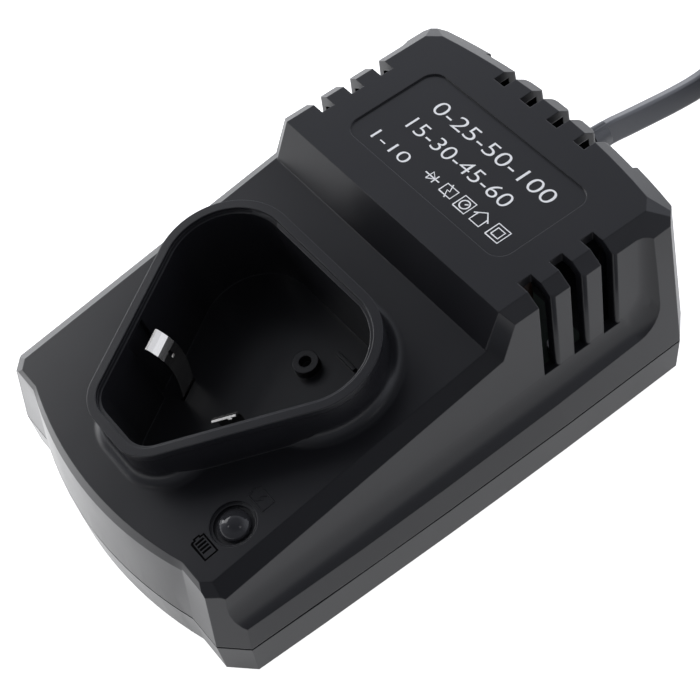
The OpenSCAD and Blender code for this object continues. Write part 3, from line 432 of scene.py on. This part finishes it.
# %% Draw strokes and figures
def as_mesh(line):
    """The mesh of a curve, which is then thrown away."""
    holder = bpy.data.objects.new(line.name, line)
    scene.collection.objects.link(holder)
    mesh = mesh_of(holder, line.name)
    bpy.data.objects.remove(holder)
    return mesh


def strokes(name, lines, wide, high):
    """A flat mesh of round strokes along lines of points, in millimetres."""
    line = bpy.data.curves.new(name, "CURVE")
    line.dimensions = "3D"
    line.bevel_depth = wide / 2 * mm
    line.bevel_resolution = 1
    line.use_fill_caps = True
    for places in lines:
        spline = line.splines.new("POLY")
        spline.points.add(len(places) - 1)
        for knot, (x, y) in zip(spline.points, places):
            knot.co = (x * mm, y * mm, 0, 1)
    mesh = as_mesh(line)
    mesh.transform(Matrix.Diagonal((1, 1, 2 * high / wide, 1)))
    return mesh


def figures(text, left, right, foot, tall):
    """Figures that fill a box on the label, in millimetres."""
    line = bpy.data.curves.new("figures", "FONT")
    line.body = text
    line.offset = -0.008
    mesh = as_mesh(line)
    xs = [v.co.x for v in mesh.vertices]
    ys = [v.co.y for v in mesh.vertices]
    scale_x = (right - left) * mm / (max(xs) - min(xs))
    scale_y = tall * mm / (max(ys) - min(ys))
    mesh.transform(Matrix.Translation((left * mm, foot * mm, 0)) @ Matrix.Diagonal((scale_x, scale_y, 1, 1))
                   @ Matrix.Translation((-min(xs), -min(ys), 0)))
    return mesh


# %% Lay a mark on a surface
def surface_at(piece, x, y):
    """A matrix on the upper side of a piece at x, y in millimetres, with Z out of it."""
    bpy.context.view_layer.update()
    _, spot, normal, _ = piece.ray_cast(Vector((x, y, 100)) * mm, Vector((0, 0, -1)))
    side = Vector((0, 1, 0)).cross(normal).normalized()
    return Matrix.Translation(spot) @ Matrix((side, normal.cross(side), normal)).transposed().to_4x4()


def gather(name, meshes, material):
    """One piece from several meshes."""
    form = bmesh.new()
    for mesh in meshes:
        form.from_mesh(mesh)
    joined = bpy.data.meshes.new(name)
    form.to_mesh(joined)
    form.free()
    return add_piece(name, joined, material)


# %% Draw the five signs of the label
def box(wide, tall):
    """A closed box round the origin, from half its width and half its height."""
    return [(-wide, -tall), (wide, -tall), (wide, tall), (-wide, tall), (-wide, -tall)]


ring = [(1.1 * cos(radians(degrees)), 1.1 * sin(radians(degrees))) for degrees in range(0, 375, 15)]
one_way = [[(-2.1, 0), (2.1, 0)], [(-0.8, -1.1), (-0.8, 1.1), (0.9, 0), (-0.8, -1.1)],
           [(0.9, -1.1), (0.9, 1.1)]]
live_inside = [box(1.7, 1.2), [(-0.6, 1.7), (0.3, 0), (-0.5, 0), (0.5, -1.7)]]
timed = [box(1.7, 1.7), ring, [(0, 0), (0.6, 0.5)]]
indoors = [[(-2.1, 0.1), (0, 1.9), (2.1, 0.1)], [(-1.4, 0.6), (-1.4, -1.7), (1.4, -1.7), (1.4, 0.6)]]
twice_insulated = [box(1.8, 1.8), box(1, 1)]
signs_at = {-1.4: one_way, 3.8: live_inside, 8.7: timed, 13.5: indoors, 18.8: twice_insulated}
print(len(signs_at), "signs")

# %% Print the label
ink_height = 0.03
sign_row = 26.8
print_parts = [figures("0-25-50-100", -16.3, 19.6, 38.2, 3.7), figures("15-30-45-60", -16.3, 14.5, 31.5, 3.6),
               figures("1-10", -19, -8.2, 24.6, 2.8)]
for at, lines in signs_at.items():
    placed = [[(at + x, sign_row + y) for x, y in line] for line in lines]
    print_parts.append(strokes("sign", placed, wide=0.32, high=0.01))
label_z = surface_at(cover, 0, 30).translation.z + ink_height * mm
for part in print_parts:
    part.transform(Matrix.Translation((0, 0, label_z)))
label_ink = finish("label_ink", (0.9, 0.9, 0.9), 0.5, mottle=0.02)
label_print = gather("label_print", print_parts, label_ink)
print("label print:", len(label_print.data.polygons), "faces at", round(label_z / mm, 2), "mm")

# %% [markdown]
# ## The signs beside the lamp
# Two small battery signs tell what the lamp means. The full one is printed in black ink, and the one that
# is being charged is only moulded, so it shows by its relief. Black ink on black plastic is seen because it
# is dull: its sheen is turned almost off. The deck slopes, so each sign is laid on it by a matrix.

# %% Make the battery signs
battery = [(-2.3, -1.45), (2.3, -1.45), (2.3, 1.45), (-2.3, 1.45), (-2.3, 0.6), (-2.7, 0.6), (-2.7, -0.6),
           (-2.3, -0.6), (-2.3, -1.45)]
bars = [[(x, -1.0), (x, 1.0)] for x in (-1.6, -0.8, 0, 0.8)]
bolt = [(0.3, 1.0), (-0.6, -0.1), (0.5, 0.1), (-0.4, -1.0)]
sign_ink = finish("sign_ink", (0.001, 0.001, 0.001), 0.9, shine=0.04)
full = strokes("full", [battery] + bars, wide=0.5, high=0.06)
full.transform(surface_at(cover, 27.5, -52.2))
full_sign = gather("full_sign", [full], sign_ink)
charging = strokes("charging", [battery, bolt], wide=0.34, high=0.12)
charging.transform(surface_at(cover, 27.4, -38.6))
charging_sign = gather("charging_sign", [charging], housing_plastic)
print("signs:", len(full_sign.data.polygons) + len(charging_sign.data.polygons), "faces")

# %% [markdown]
# ## The studio
# A charger like this is shown on a white sweep under broad soft light. Black plastic has little colour of
# its own and is read by what it mirrors, so most of the light comes from the world: dim overhead, brighter
# towards the table, and strongest from the rear left. The camera sees plain white instead, by way of a
# Light Path node.

# %% Light the world
world = bpy.data.worlds.new("studio_world")
scene.world = world
world.use_nodes = True
sky = world.node_tree
sky.nodes.clear()
direction = sky.nodes.new("ShaderNodeTexCoord")
split = sky.nodes.new("ShaderNodeSeparateXYZ")
ceiling = sky.nodes.new("ShaderNodeMapRange")
ceiling.interpolation_type = "SMOOTHSTEP"
ceiling.inputs["From Min"].default_value = 0.45
ceiling.inputs["From Max"].default_value = 0.95
ceiling.inputs["To Min"].default_value = 0.9
ceiling.inputs["To Max"].default_value = 0.16
bright_side = sky.nodes.new("ShaderNodeVectorMath")
bright_side.operation = "DOT_PRODUCT"
bright_side.inputs[1].default_value = (-0.6, 0.8, 0)
falling = sky.nodes.new("ShaderNodeMapRange")
falling.inputs["From Min"].default_value = -0.35
falling.inputs["From Max"].default_value = 0.3
falling.inputs["To Min"].default_value = 0.5
falling.inputs["To Max"].default_value = 1.65
strength = sky.nodes.new("ShaderNodeMath")
strength.operation = "MULTIPLY"
lit = sky.nodes.new("ShaderNodeBackground")
lit.inputs["Color"].default_value = (0.88, 0.91, 1, 1)
sky.links.new(direction.outputs["Generated"], split.inputs[0])
sky.links.new(direction.outputs["Generated"], bright_side.inputs[0])
sky.links.new(split.outputs["Z"], ceiling.inputs["Value"])
sky.links.new(bright_side.outputs["Value"], falling.inputs["Value"])
sky.links.new(ceiling.outputs["Result"], strength.inputs[0])
sky.links.new(falling.outputs["Result"], strength.inputs[1])
sky.links.new(strength.outputs[0], lit.inputs["Strength"])
print("world lit by", len(sky.nodes), "nodes")

# %% Show plain white to the camera
rays = sky.nodes.new("ShaderNodeLightPath")
white = sky.nodes.new("ShaderNodeBackground")
white.inputs["Color"].default_value = (1, 1, 1, 1)
choose = sky.nodes.new("ShaderNodeMixShader")
world_out = sky.nodes.new("ShaderNodeOutputWorld")
sky.links.new(rays.outputs["Is Camera Ray"], choose.inputs["Fac"])
sky.links.new(lit.outputs[0], choose.inputs[1])
sky.links.new(white.outputs[0], choose.inputs[2])
sky.links.new(choose.outputs[0], world_out.inputs["Surface"])
print("world with", len(sky.nodes), "nodes")

# %% [markdown]
# ## Three lamps
# One large softbox stands low on the left and models the front wall. Two small, far ones mainly make the
# points of light in the indicator's dome. Each is placed by a compass turn and a rise above the table, as
# one would walk a lamp round the object.

# %% Hang the lamps
aim = Vector((0, 0, 20)) * mm


def lamp_at(name, turn, rise, far, size, power):
    """A square lamp at a compass turn (0 is the rear, 90 the right) and a rise, in degrees and metres."""
    turn, rise = radians(turn), radians(rise)
    glow = bpy.data.lights.new(name, "AREA")
    glow.shape = "SQUARE"
    glow.size = size
    glow.energy = power
    lamp = bpy.data.objects.new(name, glow)
    lamp.location = Vector((sin(turn) * cos(rise), cos(turn) * cos(rise), sin(rise))) * far
    lamp.rotation_euler = (lamp.location - aim).to_track_quat("Z", "Y").to_euler()
    scene.collection.objects.link(lamp)
    return lamp


left_softbox = lamp_at("left_softbox", turn=-110, rise=27, far=0.5, size=0.34, power=1.4)
front_window = lamp_at("front_window", turn=-162, rise=48, far=1.1, size=0.14, power=0.2)
right_window = lamp_at("right_window", turn=75, rise=54, far=1.1, size=0.2, power=0.2)
for lamp in (left_softbox, front_window, right_window):
    print(lamp.name, "at", [round(v, 2) for v in lamp.location])

# %% [markdown]
# ## The floor
# The floor is a sheet of pale paper. A diffuse part takes the object's shadow, and a glow that only the
# camera sees lifts it to white. What the plastic mirrors is a painted glow, set apart from that: a painted
# pool of light in front on the left fades out to a dimmer glowing sheet.

# %% Lay the floor
form = bmesh.new()
bmesh.ops.create_grid(form, x_segments=1, y_segments=1, size=3)
floor_mesh = bpy.data.meshes.new("floor")
form.to_mesh(floor_mesh)
form.free()
floor = bpy.data.objects.new("floor", floor_mesh)
scene.collection.objects.link(floor)
print("floor", floor.dimensions.x, "m wide")

# %% Mix the floor's paper
paper = bpy.data.materials.new("floor_paper")
paper.use_nodes = True
sheet = paper.node_tree
sheet.nodes.clear()
path = sheet.nodes.new("ShaderNodeLightPath")
seen_glow = sheet.nodes.new("ShaderNodeMath")
seen_glow.operation = "MULTIPLY"
seen_glow.inputs[1].default_value = 0.92
spot = sheet.nodes.new("ShaderNodeTexCoord")
# Painted light: a pool of glow on the floor, brightest at the front left, that only reflections see.
painted_pool_distance = sheet.nodes.new("ShaderNodeVectorMath")
painted_pool_distance.operation = "DISTANCE"
painted_pool_distance.inputs[1].default_value = (-60 * mm, -95 * mm, 0)
painted_pool_falloff = sheet.nodes.new("ShaderNodeMapRange")
painted_pool_falloff.interpolation_type = "SMOOTHSTEP"
painted_pool_falloff.inputs["From Min"].default_value = 10 * mm
painted_pool_falloff.inputs["From Max"].default_value = 110 * mm
painted_pool_falloff.inputs["To Min"].default_value = 1.7
painted_pool_falloff.inputs["To Max"].default_value = 0.72
painted_reflection_glow = sheet.nodes.new("ShaderNodeMath")
painted_reflection_glow.operation = "MULTIPLY_ADD"
glow = sheet.nodes.new("ShaderNodeEmission")
diffuse = sheet.nodes.new("ShaderNodeBsdfDiffuse")
diffuse.inputs["Color"].default_value = (0.9, 0.9, 0.9, 1)
both = sheet.nodes.new("ShaderNodeAddShader")
paper_out = sheet.nodes.new("ShaderNodeOutputMaterial")
sheet.links.new(path.outputs["Is Camera Ray"], seen_glow.inputs[0])
sheet.links.new(spot.outputs["Object"], painted_pool_distance.inputs[0])
sheet.links.new(painted_pool_distance.outputs["Value"], painted_pool_falloff.inputs["Value"])
# Reflections see the painted pool of glow; the camera sees the even white glow.
sheet.links.new(path.outputs["Is Glossy Ray"], painted_reflection_glow.inputs[0])
sheet.links.new(painted_pool_falloff.outputs["Result"], painted_reflection_glow.inputs[1])
sheet.links.new(seen_glow.outputs[0], painted_reflection_glow.inputs[2])
sheet.links.new(painted_reflection_glow.outputs[0], glow.inputs["Strength"])
sheet.links.new(diffuse.outputs[0], both.inputs[0])
sheet.links.new(glow.outputs[0], both.inputs[1])
sheet.links.new(both.outputs[0], paper_out.inputs["Surface"])
floor_mesh.materials.append(paper)
scene.view_settings.view_transform = "Standard"
print("paper of", len(sheet.nodes), "nodes")
